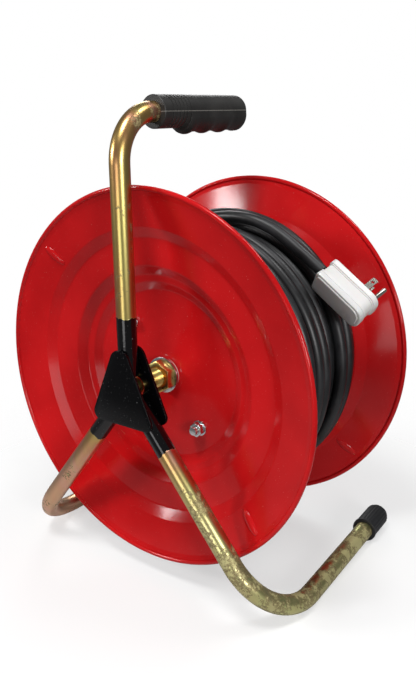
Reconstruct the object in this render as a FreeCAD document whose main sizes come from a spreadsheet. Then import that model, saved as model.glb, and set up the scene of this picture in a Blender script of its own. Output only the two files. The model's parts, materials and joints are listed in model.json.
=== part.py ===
"""Extension cord reel: a one-sided tube stand, a dished two-disc reel on a fixed axle,
a socket housing on the reel's open side and a heavy rubber cord wound on its drum.

Frame: X runs along the axle from the stand to the open side, Z is up, and the origin is
on the floor under the middle of the object. Millimetres throughout.
Parts of the reel are drawn about their own X axis, with x = 0 at the near disc's rim.
"""
import FreeCAD, Part
import math
import os
import Sketcher
from FreeCAD import Placement, Rotation, Vector

doc = FreeCAD.newDocument("CordReel")
X_AXIS = Vector(1, 0, 0)
Y_AXIS = Vector(0, 1, 0)
Z_AXIS = Vector(0, 0, 1)
ORIGIN = Vector(0, 0, 0)

# ---------------------------------------------------------------- driving dimensions
DIMENSIONS = [
    ("axle_height", 211.0, "axle axis above the floor"),
    ("rim_setback", 105.15, "near disc's rim plane behind the origin"),
    ("tube_radius", 9.5, "stand tube, outside"),
    ("tube_wall", 1.5, "stand tube wall"),
    ("tube_plane", 18.6, "stand tube axes ahead of the near rim plane"),
    ("handle_foot", 14.0, "handle tube's lower end above the axle axis"),
    ("handle_rise", 208.6, "handle bend begins this far above the axle axis"),
    ("handle_bend", 45.0, "handle bend radius"),
    ("handle_turn", 88.0, "handle bend angle"),
    ("handle_reach", 131.0, "straight run after the handle bend"),
    ("leg_start", 19.0, "leg tube's upper end, from the axle axis"),
    ("leg_run", 188.8, "leg bend begins this far from the axle axis"),
    ("leg_bend", 70.0, "leg bend radius"),
    ("leg_turn", 92.15, "leg bend angle, so that the foot rises to its cap"),
    ("leg_splay", 38.9, "leg angle from straight down"),
    ("foot_run", 174.0, "straight run after the leg bend"),
    ("plate_thick", 3.0, "gusset plate thickness"),
    ("plate_top", 59.2, "gusset outline's sharp apex above the axle"),
    ("plate_low", 34.0, "gusset lower edge below the axle"),
    ("plate_half", 41.0, "gusset outline's sharp lower corner"),
    ("plate_apex_round", 12.3, "gusset apex rounding"),
    ("plate_foot_round", 8.0, "gusset lower corner rounding"),
    ("axle_radius", 10.0, "M20 axle"),
    ("reel_width", 201.4, "rim plane to rim plane"),
    ("rim_radius", 190.0, "disc outside radius"),
    ("bead_radius", 2.5, "rolled rim bead"),
    ("sheet", 1.2, "disc and drum steel"),
    ("lip_radius", 181.0, "inside of the rim lip"),
    ("lip_depth", 3.2, "disc depth at the rim lip"),
    ("ring_a_outer", 151.0, "outer step, upper edge"),
    ("ring_a_inner", 140.0, "outer step, lower edge"),
    ("ring_a_top", 11.5, "depth above the outer step"),
    ("ring_a_foot", 18.5, "depth below the outer step"),
    ("ring_b_outer", 113.0, "middle step, upper edge"),
    ("ring_b_inner", 103.0, "middle step, lower edge"),
    ("ring_b_top", 21.0, "depth above the middle step"),
    ("ring_b_foot", 29.0, "depth below the middle step"),
    ("ring_c_outer", 96.0, "inner step, upper edge"),
    ("ring_c_inner", 87.0, "inner step, lower edge"),
    ("ring_c_top", 30.0, "depth above the inner step"),
    ("dish", 36.0, "depth of the flat centre"),
    ("hub_hole", 13.1, "centre hole in the discs"),
    ("drum_radius", 114.8, "drum wall, outside"),
    ("hub_outer", 16.0, "hub tube, outside"),
    ("bush_length", 24.0, "bush sleeve inside the hub tube"),
    ("bush_flange", 17.0, "bush flange radius"),
    ("bush_lip", 2.0, "bush flange thickness"),
    ("running_fit", 0.05, "radial clearance of a shaft in its bush"),
    ("axle_nut_flats", 30.0, "M20 nut across flats"),
    ("axle_nut_thick", 10.0, "M20 thin nut thickness"),
    ("axle_washer", 18.5, "M20 washer radius"),
    ("axle_washer_thick", 3.0, "M20 washer thickness"),
    ("tie_circle", 65.0, "tie bolts from the axle axis"),
    ("tie_angle", 48.7, "tie bolt line, from +Y towards +Z"),
    ("tie_radius", 4.0, "M8 tie bolt"),
    ("tie_flats", 13.0, "M8 nut and head across flats"),
    ("tie_nut_thick", 6.5, "M8 nut thickness"),
    ("tie_head_thick", 5.3, "M8 head thickness"),
    ("tie_washer", 8.0, "M8 washer radius"),
    ("tie_washer_thick", 1.6, "M8 washer thickness"),
    ("rib_middle", 167.0, "stamped rib's middle, from the axle axis"),
    ("rib_half_length", 13.5, "stamped rib half length"),
    ("rib_half_width", 4.6, "stamped rib half width"),
    ("rib_height", 2.4, "stamped rib height"),
    ("cover_flange", 85.5, "socket cover flange radius"),
    ("cover_base", 78.0, "socket cover wall at the disc"),
    ("cover_top", 74.0, "socket cover wall at its face"),
    ("cover_height", 31.0, "socket cover height"),
    ("cover_wall", 3.0, "socket cover wall"),
    ("outlet_circle", 47.0, "outlets from the axle axis"),
    ("outlet_radius", 18.0, "outlet insert radius"),
    ("outlet_length", 26.0, "outlet insert length"),
    ("outlet_proud", 1.5, "outlet face ahead of the cover"),
    ("slot_depth", 17.0, "outlet slot and ground hole depth"),
    ("ground_hole", 2.5, "outlet ground hole radius"),
    ("breaker_circle", 50.0, "thermal cut-out from the axle axis"),
    ("breaker_radius", 10.5, "thermal cut-out body radius"),
    ("button_radius", 5.0, "reset button radius"),
    ("screw_circle", 81.8, "cover screws from the axle axis"),
    ("knob_circle", 127.0, "winding knob from the axle axis"),
    ("knob_angle", 300.0, "winding knob, from +Y towards +Z"),
    ("knob_radius", 14.0, "winding knob radius"),
    ("knob_length", 54.0, "winding knob length"),
    ("spindle_radius", 4.0, "knob spindle radius"),
    ("cord_radius", 6.25, "cord radius"),
    ("grip_radius", 15.2, "handle grip radius, upper half"),
    ("grip_length", 138.0, "handle grip length"),
    ("grip_drop", 4.0, "grip is this much deeper under the fingers"),
    ("cap_radius", 12.4, "foot cap radius"),
    ("cap_collar", 13.4, "foot cap collar radius"),
    ("cap_length", 44.0, "foot cap length"),
    ("cap_start", 132.0, "foot cap's open end, from the leg bend"),
    ("grip_gap", 3.5, "grip's open end, from the handle bend"),
    ("plug_length", 60.0, "plug body, along the cord"),
    ("plug_width", 28.0, "plug body, across the blades"),
    ("plug_depth", 25.0, "plug body, back to pin face"),
]

sheet = doc.addObject("Spreadsheet::Sheet", "Dims")
for row, (name, value, note) in enumerate(DIMENSIONS, start=1):
    sheet.set("A%d" % row, name)
    sheet.set("B%d" % row, str(value))
    sheet.set("C%d" % row, note)
    sheet.setAlias("B%d" % row, name)
doc.recompute()


class Size:
    """A length or angle that knows its value and the spreadsheet formula behind it."""

    def __init__(self, value, formula):
        self.value = float(value)
        self.formula = formula

    def join(self, other, sign, value, swapped=False):
        text = other.formula if isinstance(other, Size) else repr(other)
        left, right = (text, self.formula) if swapped else (self.formula, text)
        return Size(value, "(%s %s %s)" % (left, sign, right))

    def __add__(self, other):
        return self.join(other, "+", self.value + number(other))

    def __radd__(self, other):
        return self.join(other, "+", number(other) + self.value, swapped=True)

    def __sub__(self, other):
        return self.join(other, "-", self.value - number(other))

    def __rsub__(self, other):
        return self.join(other, "-", number(other) - self.value, swapped=True)

    def __mul__(self, other):
        return self.join(other, "*", self.value * number(other))

    def __rmul__(self, other):
        return self.join(other, "*", number(other) * self.value, swapped=True)

    def __truediv__(self, other):
        return self.join(other, "/", self.value / number(other))

    def __neg__(self):
        return Size(-self.value, "(0 - %s)" % self.formula)


def number(size):
    """The plain value of a Size or of a number."""
    return size.value if isinstance(size, Size) else float(size)


def formula(size):
    return size.formula if isinstance(size, Size) else repr(float(size))


def sine(angle):
    return Size(math.sin(math.radians(number(angle))), "sin(%s)" % formula(angle))


def cosine(angle):
    return Size(math.cos(math.radians(number(angle))), "cos(%s)" % formula(angle))


class Sizes:
    """The spreadsheet's cells by name."""


d = Sizes()
for name, value, note in DIMENSIONS:
    setattr(d, name, Size(value, "Dims." + name))

nodes = {}


# ---------------------------------------------------------------- drawing helpers
def bind(thing, prop, size):
    thing.setExpression(prop, formula(size))


def node(thing, name, at=(0, 0, 0), turn=None, in_reel=True):
    """Name a finished sub-part and place it; reel parts start from the near rim's centre."""
    thing.Label = name
    nodes[name] = thing
    thing.Placement = Placement(ORIGIN, turn or Rotation())
    x, y, z = at
    if in_reel:
        x = x - d.rim_setback
        z = z + d.axle_height
    bind(thing, "Placement.Base.x", x)
    bind(thing, "Placement.Base.y", y)
    bind(thing, "Placement.Base.z", z)
    return thing


def reel_turn(angle=0.0):
    """Turn about the axle that brings a part drawn at 45 degrees to the tie bolts' line."""
    return Rotation(X_AXIS, d.tie_angle.value - 45.0 + angle)


def origin_plane(body, role):
    return next(f for f in body.Origin.OriginFeatures if f.Role == role)


def new_sketch(body, role, name):
    sketch = body.newObject("Sketcher::SketchObject", name)
    sketch.AttachmentSupport = [(origin_plane(body, role), "")]
    sketch.MapMode = "FlatFace"
    return sketch


def outline(sketch, corners):
    """Closed outline of straight lines, every corner tied to the sheet."""
    points = [Vector(number(a), number(b), 0) for a, b in corners]
    count = len(points)
    for i in range(count):
        sketch.addGeometry(Part.LineSegment(points[i], points[(i + 1) % count]), False)
    for i in range(count):
        sketch.addConstraint(Sketcher.Constraint("Coincident", i, 2, (i + 1) % count, 1))
    for i, corner in enumerate(corners):
        for kind, size in zip(("DistanceX", "DistanceY"), corner):
            if abs(number(size)) < 1e-9:
                line = -2 if kind == "DistanceX" else -1
                sketch.addConstraint(Sketcher.Constraint("PointOnObject", i, 1, line))
                continue
            place = sketch.addConstraint(Sketcher.Constraint(kind, -1, 1, i, 1, number(size)))
            bind(sketch, "Constraints[%d]" % place, size)


def circle(sketch, centre, radius):
    ring = sketch.addGeometry(
        Part.Circle(Vector(number(centre[0]), number(centre[1]), 0), Z_AXIS, number(radius)), False)
    tie = sketch.addConstraint(Sketcher.Constraint("Radius", ring, number(radius)))
    bind(sketch, "Constraints[%d]" % tie, radius)
    if abs(number(centre[0])) < 1e-9 and abs(number(centre[1])) < 1e-9:
        sketch.addConstraint(Sketcher.Constraint("Coincident", ring, 3, -1, 1))
        return ring
    for kind, size, line in (("DistanceX", centre[0], -2), ("DistanceY", centre[1], -1)):
        if abs(number(size)) < 1e-9:
            sketch.addConstraint(Sketcher.Constraint("PointOnObject", ring, 3, line))
            continue
        place = sketch.addConstraint(Sketcher.Constraint(kind, -1, 1, ring, 3, number(size)))
        bind(sketch, "Constraints[%d]" % place, size)
    return ring


def turned(name, corners):
    """Body turned about its own X axis from an outline of (x, radius) corners."""
    body = doc.addObject("PartDesign::Body", name)
    sketch = new_sketch(body, "XZ_Plane", name + "_section")
    outline(sketch, corners)
    turn = body.newObject("PartDesign::Revolution", name + "_turned")
    turn.Profile = sketch
    turn.ReferenceAxis = (sketch, ["H_Axis"])
    turn.Angle = 360
    body.Tip = turn
    return body


def padded(name, role, corners, length, holes=()):
    """Body padded from an outline on one of its origin planes, with round holes."""
    body = doc.addObject("PartDesign::Body", name)
    sketch = new_sketch(body, role, name + "_outline")
    outline(sketch, corners)
    for centre, radius in holes:
        circle(sketch, centre, radius)
    pad = body.newObject("PartDesign::Pad", name + "_pad")
    pad.Profile = sketch
    bind(pad, "Length", length)
    body.Tip = pad
    return body


def rod(name, radius, length, at=(0, 0, 0), towards=X_AXIS):
    """Plain cylinder that starts at a point and runs along a direction."""
    thing = doc.addObject("Part::Cylinder", name)
    bind(thing, "Radius", radius)
    bind(thing, "Height", length)
    thing.Placement = Placement(ORIGIN, Rotation(Z_AXIS, towards))
    for axis, size in zip("xyz", at):
        bind(thing, "Placement.Base." + axis, size)
    return thing


def block(name, sides, at):
    """Box with its lowest corner at a point."""
    thing = doc.addObject("Part::Box", name)
    for prop, size in zip(("Length", "Width", "Height"), sides):
        bind(thing, prop, size)
    for axis, size in zip("xyz", at):
        bind(thing, "Placement.Base." + axis, size)
    return thing


def hexagon(name, flats, thick, at_x, hole=None):
    """Hexagon nut or head about the X axis, its corners turned down at its outer end."""
    prism = doc.addObject("Part::Prism", name + "_hex")
    prism.Polygon = 6
    bind(prism, "Circumradius", flats / math.sqrt(3))
    bind(prism, "Height", thick)
    crown = doc.addObject("Part::Cone", name + "_crown")
    bind(crown, "Radius1", flats * 0.53)
    bind(crown, "Radius2", flats * 0.53 + thick * 1.7)
    bind(crown, "Height", thick)
    for thing in (prism, crown):
        thing.Placement = Placement(ORIGIN, Rotation(Z_AXIS, X_AXIS))
        bind(thing, "Placement.Base.x", at_x)
    body = common(name + "_solid", prism, crown)
    if hole is None:
        return body
    return cut(name + "_bored", body, rod(name + "_bore", hole, thick + 2.0, (at_x - 1.0, 0, 0)))


def cut(name, base, *tools):
    thing = base
    for i, tool in enumerate(tools):
        step = doc.addObject("Part::Cut", name if i == len(tools) - 1 else "%s_%d" % (name, i))
        step.Base = thing
        step.Tool = tool
        thing = step
    return thing


def common(name, base, tool):
    thing = doc.addObject("Part::Common", name)
    thing.Base = base
    thing.Tool = tool
    return thing


def fuse(name, *shapes):
    thing = doc.addObject("Part::MultiFuse", name)
    thing.Shapes = list(shapes)
    return thing


def group(name, *shapes):
    """Separate solids that share one node."""
    thing = doc.addObject("Part::Compound", name)
    thing.Links = list(shapes)
    return thing


def around(thing, angle, radius):
    """Move a part drawn on the X axis out to a radius at an angle from +Y towards +Z."""
    lever = Rotation(X_AXIS, angle)
    base = thing.Placement
    out = lever.multVec(Vector(0, number(radius), 0))
    thing.Placement = Placement(base.Base + out, lever.multiply(base.Rotation))
    side = math.radians(angle)
    bind(thing, "Placement.Base.y", radius * math.cos(side))
    bind(thing, "Placement.Base.z", radius * math.sin(side))
    return thing


def bent_tube(name, first, radius, turn, second):
    """Tube that rises from its own origin, bends towards its +X and runs on straight."""
    body = doc.addObject("PartDesign::Body", name)
    ring = new_sketch(body, "XY_Plane", name + "_ring")
    circle(ring, (0, 0), d.tube_radius)
    circle(ring, (0, 0), d.tube_radius - d.tube_wall)
    path = new_sketch(body, "XZ_Plane", name + "_path")
    rise, bend, sweep = number(first), number(radius), math.radians(number(turn))
    centre = Vector(bend, rise, 0)
    start = centre + Vector(-bend * math.cos(sweep), bend * math.sin(sweep), 0)
    end = start + Vector(math.sin(sweep), math.cos(sweep), 0) * number(second)
    path.addGeometry(Part.LineSegment(ORIGIN, Vector(0, rise, 0)), False)
    arc = Part.ArcOfCircle(Part.Circle(centre, Z_AXIS, bend), math.pi - sweep, math.pi)
    path.addGeometry(arc, False)
    path.addGeometry(Part.LineSegment(start, end), False)
    path.addConstraint(Sketcher.Constraint("Coincident", 0, 1, -1, 1))
    path.addConstraint(Sketcher.Constraint("Vertical", 0))
    path.addConstraint(Sketcher.Constraint("Tangent", 0, 2, 1, 2))
    path.addConstraint(Sketcher.Constraint("Tangent", 1, 1, 2, 1))
    for kind, edge, size in (("Distance", 0, first), ("Radius", 1, radius), ("Distance", 2, second)):
        tie = path.addConstraint(Sketcher.Constraint(kind, edge, number(size)))
        bind(path, "Constraints[%d]" % tie, size)
    tie = path.addConstraint(Sketcher.Constraint("Angle", 1, sweep))
    bind(path, "Constraints[%d]" % tie, turn)
    pipe = body.newObject("PartDesign::AdditivePipe", name + "_pipe")
    pipe.Profile = ring
    pipe.Spine = (path, ["Edge1", "Edge2", "Edge3"])
    body.Tip = pipe
    return body


# ---------------------------------------------------------------- stand: handle and legs
node(bent_tube("handle_tube", d.handle_rise - d.handle_foot, d.handle_bend, d.handle_turn,
               d.handle_reach), "handle_tube", (-d.tube_plane, 0, d.handle_foot))

# Each leg lies in the tube plane and its foot runs under the reel; the feet rise a little so
# that the bend and the fatter rubber cap both reach the floor.
foot_forward = d.leg_bend * (1 - cosine(d.leg_turn))
foot_down = d.leg_run + d.leg_bend * sine(d.leg_turn)


def leg_point(side, forward, down):
    """Place of a point of a leg, from the near rim's centre; side is +1 or -1 in Y."""
    return (forward - d.tube_plane, down * sine(d.leg_splay) * side, -(down * cosine(d.leg_splay)))


for leg_name, cap_name, side in (("left_leg_tube", "left_foot_cap", 1),
                                 ("right_leg_tube", "right_foot_cap", -1)):
    lean = Rotation(X_AXIS, -side * (180.0 - d.leg_splay.value))
    node(bent_tube(leg_name, d.leg_run - d.leg_start, d.leg_bend, d.leg_turn, d.foot_run),
         leg_name, leg_point(side, 0, d.leg_start), lean)
    cap = turned(cap_name, [
        (0, d.tube_radius + 0.1), (0, d.cap_collar), (6, d.cap_collar), (7.5, d.cap_radius),
        (d.cap_length - 3, d.cap_radius), (d.cap_length, d.cap_radius - 3), (d.cap_length, 0),
        (d.cap_length - 2, 0), (d.cap_length - 2, d.tube_radius + 0.1)])
    node(cap, cap_name,
         leg_point(side, foot_forward + d.cap_start * sine(d.leg_turn),
                   foot_down + d.cap_start * cosine(d.leg_turn)),
         lean.multiply(Rotation(Y_AXIS, d.leg_turn.value - 90.0)))

# Rubber grip: a sleeve with six ring grooves, deeper under the fingers, with four finger ridges.
GROOVES = 6
FINGER_RIDGES = (45.0, 73.0, 101.0, 130.0)
groove_start, groove_pitch, groove_wide, groove_deep = 11.0, 5.2, 2.0, 1.0
belly_start, belly_slope, end_wall = 34.0, 6.0, 6.0
ridge_inset, ridge_round = 3.0, 5.2
grip_nose = [(d.grip_length - 8, d.grip_radius), (d.grip_length - 4, d.grip_radius - 1.2),
             (d.grip_length - 1.2, d.grip_radius - 4), (d.grip_length, d.grip_radius - 8),
             (d.grip_length, 0)]
sleeve_corners = [(0, 0), (0, d.grip_radius)]
for ring in range(GROOVES):
    edge = groove_start + ring * groove_pitch
    sleeve_corners += [(edge, d.grip_radius), (edge, d.grip_radius - groove_deep),
                       (edge + groove_wide, d.grip_radius - groove_deep),
                       (edge + groove_wide, d.grip_radius)]
belly = turned("grip_belly", [(belly_start, 0), (belly_start + belly_slope, d.grip_radius)] + grip_nose)
bind(belly, "Placement.Base.z", -1 * d.grip_drop)
grip_parts = [turned("grip_sleeve", sleeve_corners + grip_nose), belly,
              block("grip_sides", (d.grip_length - 8 - belly_start - belly_slope, 2 * d.grip_radius, d.grip_drop),
                    (belly_start + belly_slope, -1 * d.grip_radius, -1 * d.grip_drop))]
for ridge, along in enumerate(FINGER_RIDGES):
    bump = doc.addObject("Part::Torus", "finger_ridge_%d" % ridge)
    bind(bump, "Radius1", d.grip_radius - ridge_inset)
    bind(bump, "Radius2", ridge_round)
    bump.Angle3 = 180
    bump.Placement = Placement(Vector(along, 0, -number(d.grip_drop)),
                               Rotation(Z_AXIS, X_AXIS).multiply(Rotation(Z_AXIS, -90)))
    grip_parts.append(bump)
grip_bore = rod("grip_bore", d.tube_radius + 0.1, d.grip_length - end_wall + 1, (-1, 0, 0))
grip_from = d.grip_gap * sine(d.handle_turn)
node(cut("grip_bored", fuse("grip_whole", *grip_parts), grip_bore), "handle_grip",
     (d.handle_bend * (1 - cosine(d.handle_turn)) + grip_from - d.tube_plane, 0,
      d.handle_rise + d.handle_bend * sine(d.handle_turn) + d.grip_gap * cosine(d.handle_turn)),
     Rotation(Y_AXIS, d.handle_turn.value - 90.0))

# ---------------------------------------------------------------- stand: hub plates and axle


def gusset(name, hole):
    """Three-cornered plate that ties the three tubes together, corners rounded."""
    corners = [(0, d.plate_top), (-d.plate_half, -d.plate_low), (d.plate_half, -d.plate_low)]
    holes = [((0, 0), hole)] if hole is not None else []
    body = padded(name, "YZ_Plane", corners, d.plate_thick, holes)
    doc.recompute()
    for label, radius, wanted in (("apex", d.plate_apex_round, lambda p: p.z > 0),
                                  ("foot", d.plate_foot_round, lambda p: p.z < 0)):
        base = body.Tip
        across = [(i, e.CenterOfMass) for i, e in enumerate(base.Shape.Edges, start=1)
                  if len(e.Vertexes) == 2 and e.Length < number(d.plate_thick) + 0.01
                  and abs(e.tangentAt(e.FirstParameter).x) > 0.99]
        rounding = body.newObject("PartDesign::Fillet", "%s_%s_round" % (name, label))
        rounding.Base = (base, ["Edge%d" % i for i, p in across if sharp(p, wanted)])
        bind(rounding, "Radius", radius)
        body.Tip = rounding
        doc.recompute()
    return body


def sharp(point, wanted):
    """True for a corner edge of the plate outline that is still to be rounded."""
    on_apex = abs(point.y) < 0.5 and point.z > number(d.plate_top) - 1
    on_foot = point.z < 0.5 - number(d.plate_low) and abs(point.y) > number(d.plate_half) - 1
    return wanted(point) and (on_apex or on_foot)


node(gusset("outer_gusset_plate", None), "outer_gusset_plate",
     (-d.tube_plane - d.tube_radius - d.plate_thick, 0, 0))
node(gusset("inner_gusset_plate", d.axle_radius + 0.1), "inner_gusset_plate",
     (-d.tube_plane + d.tube_radius, 0, 0))

far_flat = d.reel_width - d.dish
axle_back = -d.tube_plane - d.tube_radius
near_face = d.dish - d.bush_lip
far_face = far_flat + d.bush_lip
nut_gap = 0.2
washer_near = near_face - nut_gap - d.axle_washer_thick
washer_far = far_face + nut_gap
node(rod("axle", d.axle_radius, washer_far + d.axle_washer_thick + d.axle_nut_thick + 3 - axle_back),
     "axle_shaft", (axle_back, 0, 0), Rotation(Z_AXIS, X_AXIS))


def ring_plate(name, outer, inner, thick):
    return turned(name, [(0, inner), (0, outer), (thick, outer), (thick, inner)])


for name, at_x in (("near_axle_washer", washer_near), ("far_axle_washer", washer_far)):
    node(ring_plate(name, d.axle_washer, d.axle_radius, d.axle_washer_thick), name, (at_x, 0, 0))
node(hexagon("near_axle_nut", d.axle_nut_flats, d.axle_nut_thick, 0, d.axle_radius),
     "near_axle_nut", (washer_near - d.axle_nut_thick, 0, 0))
node(hexagon("far_axle_nut", d.axle_nut_flats, d.axle_nut_thick, 0, d.axle_radius),
     "far_axle_nut", (washer_far + d.axle_washer_thick, 0, 0))

# ---------------------------------------------------------------- reel: discs, drum and hub
STEP_ROUND = 3.5
TIE_ANGLES = (45.0, 225.0)


def stamped_disc(name, rib_angle, rib_outward, holes):
    """Dished pressed-steel disc: rolled rim, cone, three steps down to a flat centre.

    It is drawn with its open side towards -X. holes lists (radius, circle, angle)."""
    outer = [(d.dish, d.hub_hole), (d.dish, d.ring_c_inner), (d.ring_c_top, d.ring_c_outer),
             (d.ring_b_foot, d.ring_b_inner), (d.ring_b_top, d.ring_b_outer),
             (d.ring_a_foot, d.ring_a_inner), (d.ring_a_top, d.ring_a_outer),
             (d.lip_depth, d.lip_radius), (0.6, d.rim_radius - d.bead_radius)]
    inner = [(x + d.sheet, r) for x, r in reversed(outer)]
    body = turned(name + "_sheet", outer + inner)
    doc.recompute()
    pressed = body.Tip
    steps = [i for i, e in enumerate(pressed.Shape.Edges, start=1)
             if e.Curve.TypeId == "Part::GeomCircle"
             and number(d.ring_c_inner) - 1 < e.Curve.Radius < number(d.lip_radius) + 1]
    rounding = body.newObject("PartDesign::Fillet", name + "_rounded")
    rounding.Base = (pressed, ["Edge%d" % i for i in steps])
    rounding.Radius = STEP_ROUND
    bead = new_sketch(body, "XZ_Plane", name + "_bead")
    circle(bead, (d.bead_radius - 0.6, d.rim_radius - d.bead_radius), d.bead_radius)
    rim = body.newObject("PartDesign::Revolution", name + "_rim")
    rim.Profile = bead
    rim.ReferenceAxis = (bead, ["H_Axis"])
    rim.Angle = 360
    body.Tip = rim
    cone_slope = (d.ring_a_top - d.lip_depth) / (d.lip_radius - d.ring_a_outer)
    rib_x = d.ring_a_top - (d.rib_middle - d.ring_a_outer) * cone_slope.value
    lean = -math.degrees(math.atan(cone_slope.value))
    inward = -1.0 if rib_outward else 1.0
    rib_x = rib_x if rib_outward else rib_x + d.sheet * 0.7
    bumps, hollows = [], []
    for turn in (0.0, 180.0):
        for pile, shift, trim in ((bumps, 0.0, 0.0), (hollows, -inward * number(d.sheet), 0.15)):
            lens = doc.addObject("Part::Ellipsoid", "%s_rib" % name)
            bind(lens, "Radius1", d.rib_half_length - trim * 4)
            bind(lens, "Radius2", d.rib_height - trim / 2)
            bind(lens, "Radius3", d.rib_half_width - trim * 2)
            lens.Placement = Placement(ORIGIN, Rotation(X_AXIS, rib_angle + turn - 90.0)).multiply(
                Placement(Vector(number(rib_x) + shift, 0, d.rib_middle.value), Rotation(Y_AXIS, lean)))
            pile.append(lens)
    ribbed = fuse(name + "_ribbed", body, *bumps)
    drills = []
    for radius, ring, angle in holes:
        drill = rod(name + "_drill", radius, d.dish + 20.0, (-10.0, 0, 0))
        drills.append(around(drill, angle, ring))
    return cut(name + "_drilled", ribbed, fuse(name + "_hollows", *hollows), *drills)


KNOB_LOCAL = d.knob_angle.value
SCREW_ANGLES = (22.5, 112.5, 202.5, 292.5)
LEAD_ANGLE = 180.0
near_holes = [(d.tie_radius + 0.3, d.tie_circle, angle) for angle in TIE_ANGLES]
far_holes = [(d.tie_radius + 0.3, d.tie_circle, 180.0 - angle) for angle in TIE_ANGLES]
far_holes += [(2.1, d.screw_circle, 180.0 - angle) for angle in SCREW_ANGLES]
far_holes += [(8.0, 62.0, 180.0 - LEAD_ANGLE), (d.spindle_radius + 0.1, d.knob_circle, 180.0 - KNOB_LOCAL)]
mirror = Rotation(Z_AXIS, 180.0)
node(stamped_disc("near_disc", 39.5, True, near_holes), "near_disc", (0, 0, 0), reel_turn())
node(stamped_disc("far_disc", 144.5, False, far_holes), "far_disc", (d.reel_width, 0, 0),
     reel_turn().multiply(mirror))

drum_end = d.ring_b_top + d.sheet
GLAND_ANGLE, GLAND_LEAN = 240.0, 25.0
gland_x, gland_radius, gland_inside = 43.0, 9.5, 22.0


def on_drum(angle, radius):
    """Unit radial and winding directions, and the point at a radius on the drum."""
    spin = math.radians(angle)
    radial = Vector(0, math.cos(spin), math.sin(spin))
    along = Vector(0, -math.sin(spin), math.cos(spin))
    return radial, along, radial * number(radius)


radial, along, mouth = on_drum(GLAND_ANGLE, d.drum_radius)
mouth = mouth + Vector(gland_x, 0, 0)
slant = along * math.cos(math.radians(GLAND_LEAN)) + radial * math.sin(math.radians(GLAND_LEAN))


def slanted_rod(name, radius, behind, length):
    """Cylinder along the cord's way out through the drum wall."""
    start = mouth - slant * behind
    return rod(name, radius, length, (start.x, start.y, start.z), slant)


drum = turned("drum_wall", [(drum_end, d.drum_radius - d.sheet), (drum_end, d.drum_radius),
                            (d.reel_width - drum_end, d.drum_radius),
                            (d.reel_width - drum_end, d.drum_radius - d.sheet)])
node(cut("drum_core_cut", drum, slanted_rod("gland_way", gland_radius, gland_inside, 60.0)),
     "drum_core", (0, 0, 0), reel_turn())
gland_block = cut("gland_bored", slanted_rod("gland_rod", gland_radius, gland_inside, 60.0),
                  slanted_rod("gland_bore", d.cord_radius + 0.05, gland_inside + 1.0, 70.0))
node(common("gland_flush", gland_block, rod("gland_trim", d.drum_radius, 60.0)),
     "cord_gland", (0, 0, 0), reel_turn())

inside = d.dish + d.sheet
node(turned("hub_tube", [(inside, d.hub_hole), (inside, d.hub_outer),
                         (d.reel_width - inside, d.hub_outer), (d.reel_width - inside, d.hub_hole)]),
     "hub_tube", (0, 0, 0), reel_turn())
bush_bore = d.axle_radius + d.running_fit
bush_corners = [(0, bush_bore), (0, d.bush_flange), (d.bush_lip, d.bush_flange),
                (d.bush_lip, d.hub_hole - 0.02), (d.bush_lip + d.bush_length, d.hub_hole - 0.02),
                (d.bush_lip + d.bush_length, bush_bore)]
node(turned("near_bush", bush_corners), "near_bush", (near_face, 0, 0), reel_turn())
node(turned("far_bush", bush_corners), "far_bush", (far_face, 0, 0), reel_turn().multiply(mirror))

# Two long tie bolts clamp the discs on the drum; their stud ends show on the near side.
bolts, nuts, washers = [], [], []
stud_end = 4.5
near_seat = d.dish - d.tie_washer_thick
far_seat = far_flat + d.tie_washer_thick
for turn, angle in enumerate(TIE_ANGLES):
    shank = rod("tie_shank_%d" % turn, d.tie_radius, far_seat - near_seat + d.tie_nut_thick + stud_end,
                (near_seat - d.tie_nut_thick - stud_end, 0, 0))
    head = hexagon("tie_head_%d" % turn, d.tie_flats, d.tie_head_thick, far_seat)
    bolts.append(around(fuse("tie_bolt_%d" % turn, shank, head), angle, d.tie_circle))
    nut = hexagon("tie_nut_%d" % turn, d.tie_flats, d.tie_nut_thick, near_seat - d.tie_nut_thick,
                  d.tie_radius)
    nuts.append(around(nut, angle, d.tie_circle))
    for end, seat in (("near", near_seat), ("far", far_flat)):
        washer = ring_plate("tie_washer_%s_%d" % (end, turn), d.tie_washer, d.tie_radius,
                            d.tie_washer_thick)
        bind(washer, "Placement.Base.x", seat)
        washers.append(around(washer, angle, d.tie_circle))
node(group("tie_bolt_pair", *bolts), "tie_bolts", (0, 0, 0), reel_turn())
node(group("tie_nut_pair", *nuts), "tie_bolt_nuts", (0, 0, 0), reel_turn())
node(group("tie_washer_set", *washers), "tie_bolt_washers", (0, 0, 0), reel_turn())

# ---------------------------------------------------------------- reel: sockets on the open side
cover_face = far_flat + d.cover_height
OUTLETS = (("outlet_right", 0.0), ("outlet_top", 90.0), ("outlet_left", 180.0), ("outlet_bottom", 270.0))
CUTOUT_ANGLE = 315.0
shell = turned("cover_shell", [
    (far_flat, d.cover_base - d.cover_wall), (far_flat, d.cover_flange),
    (far_flat + d.cover_wall, d.cover_flange), (far_flat + d.cover_wall, d.cover_base),
    (cover_face - 3, d.cover_top), (cover_face, d.cover_top - 3), (cover_face, 0),
    (cover_face - d.cover_wall, 0), (cover_face - d.cover_wall, d.cover_top - d.cover_wall - 1)])
cover_holes = [around(rod("outlet_way", d.outlet_radius, 60.0, (far_flat + 10, 0, 0)), angle,
                      d.outlet_circle) for name, angle in OUTLETS]
cover_holes.append(around(rod("cutout_way", d.breaker_radius, 60.0, (far_flat + 10, 0, 0)),
                          CUTOUT_ANGLE, d.breaker_circle))
cover_holes += [around(rod("screw_way", 2.1, 20.0, (far_flat - 5, 0, 0)), angle, d.screw_circle)
                for angle in SCREW_ANGLES]
node(cut("cover_cut", shell, *cover_holes), "socket_cover", (0, 0, 0), reel_turn())

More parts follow.
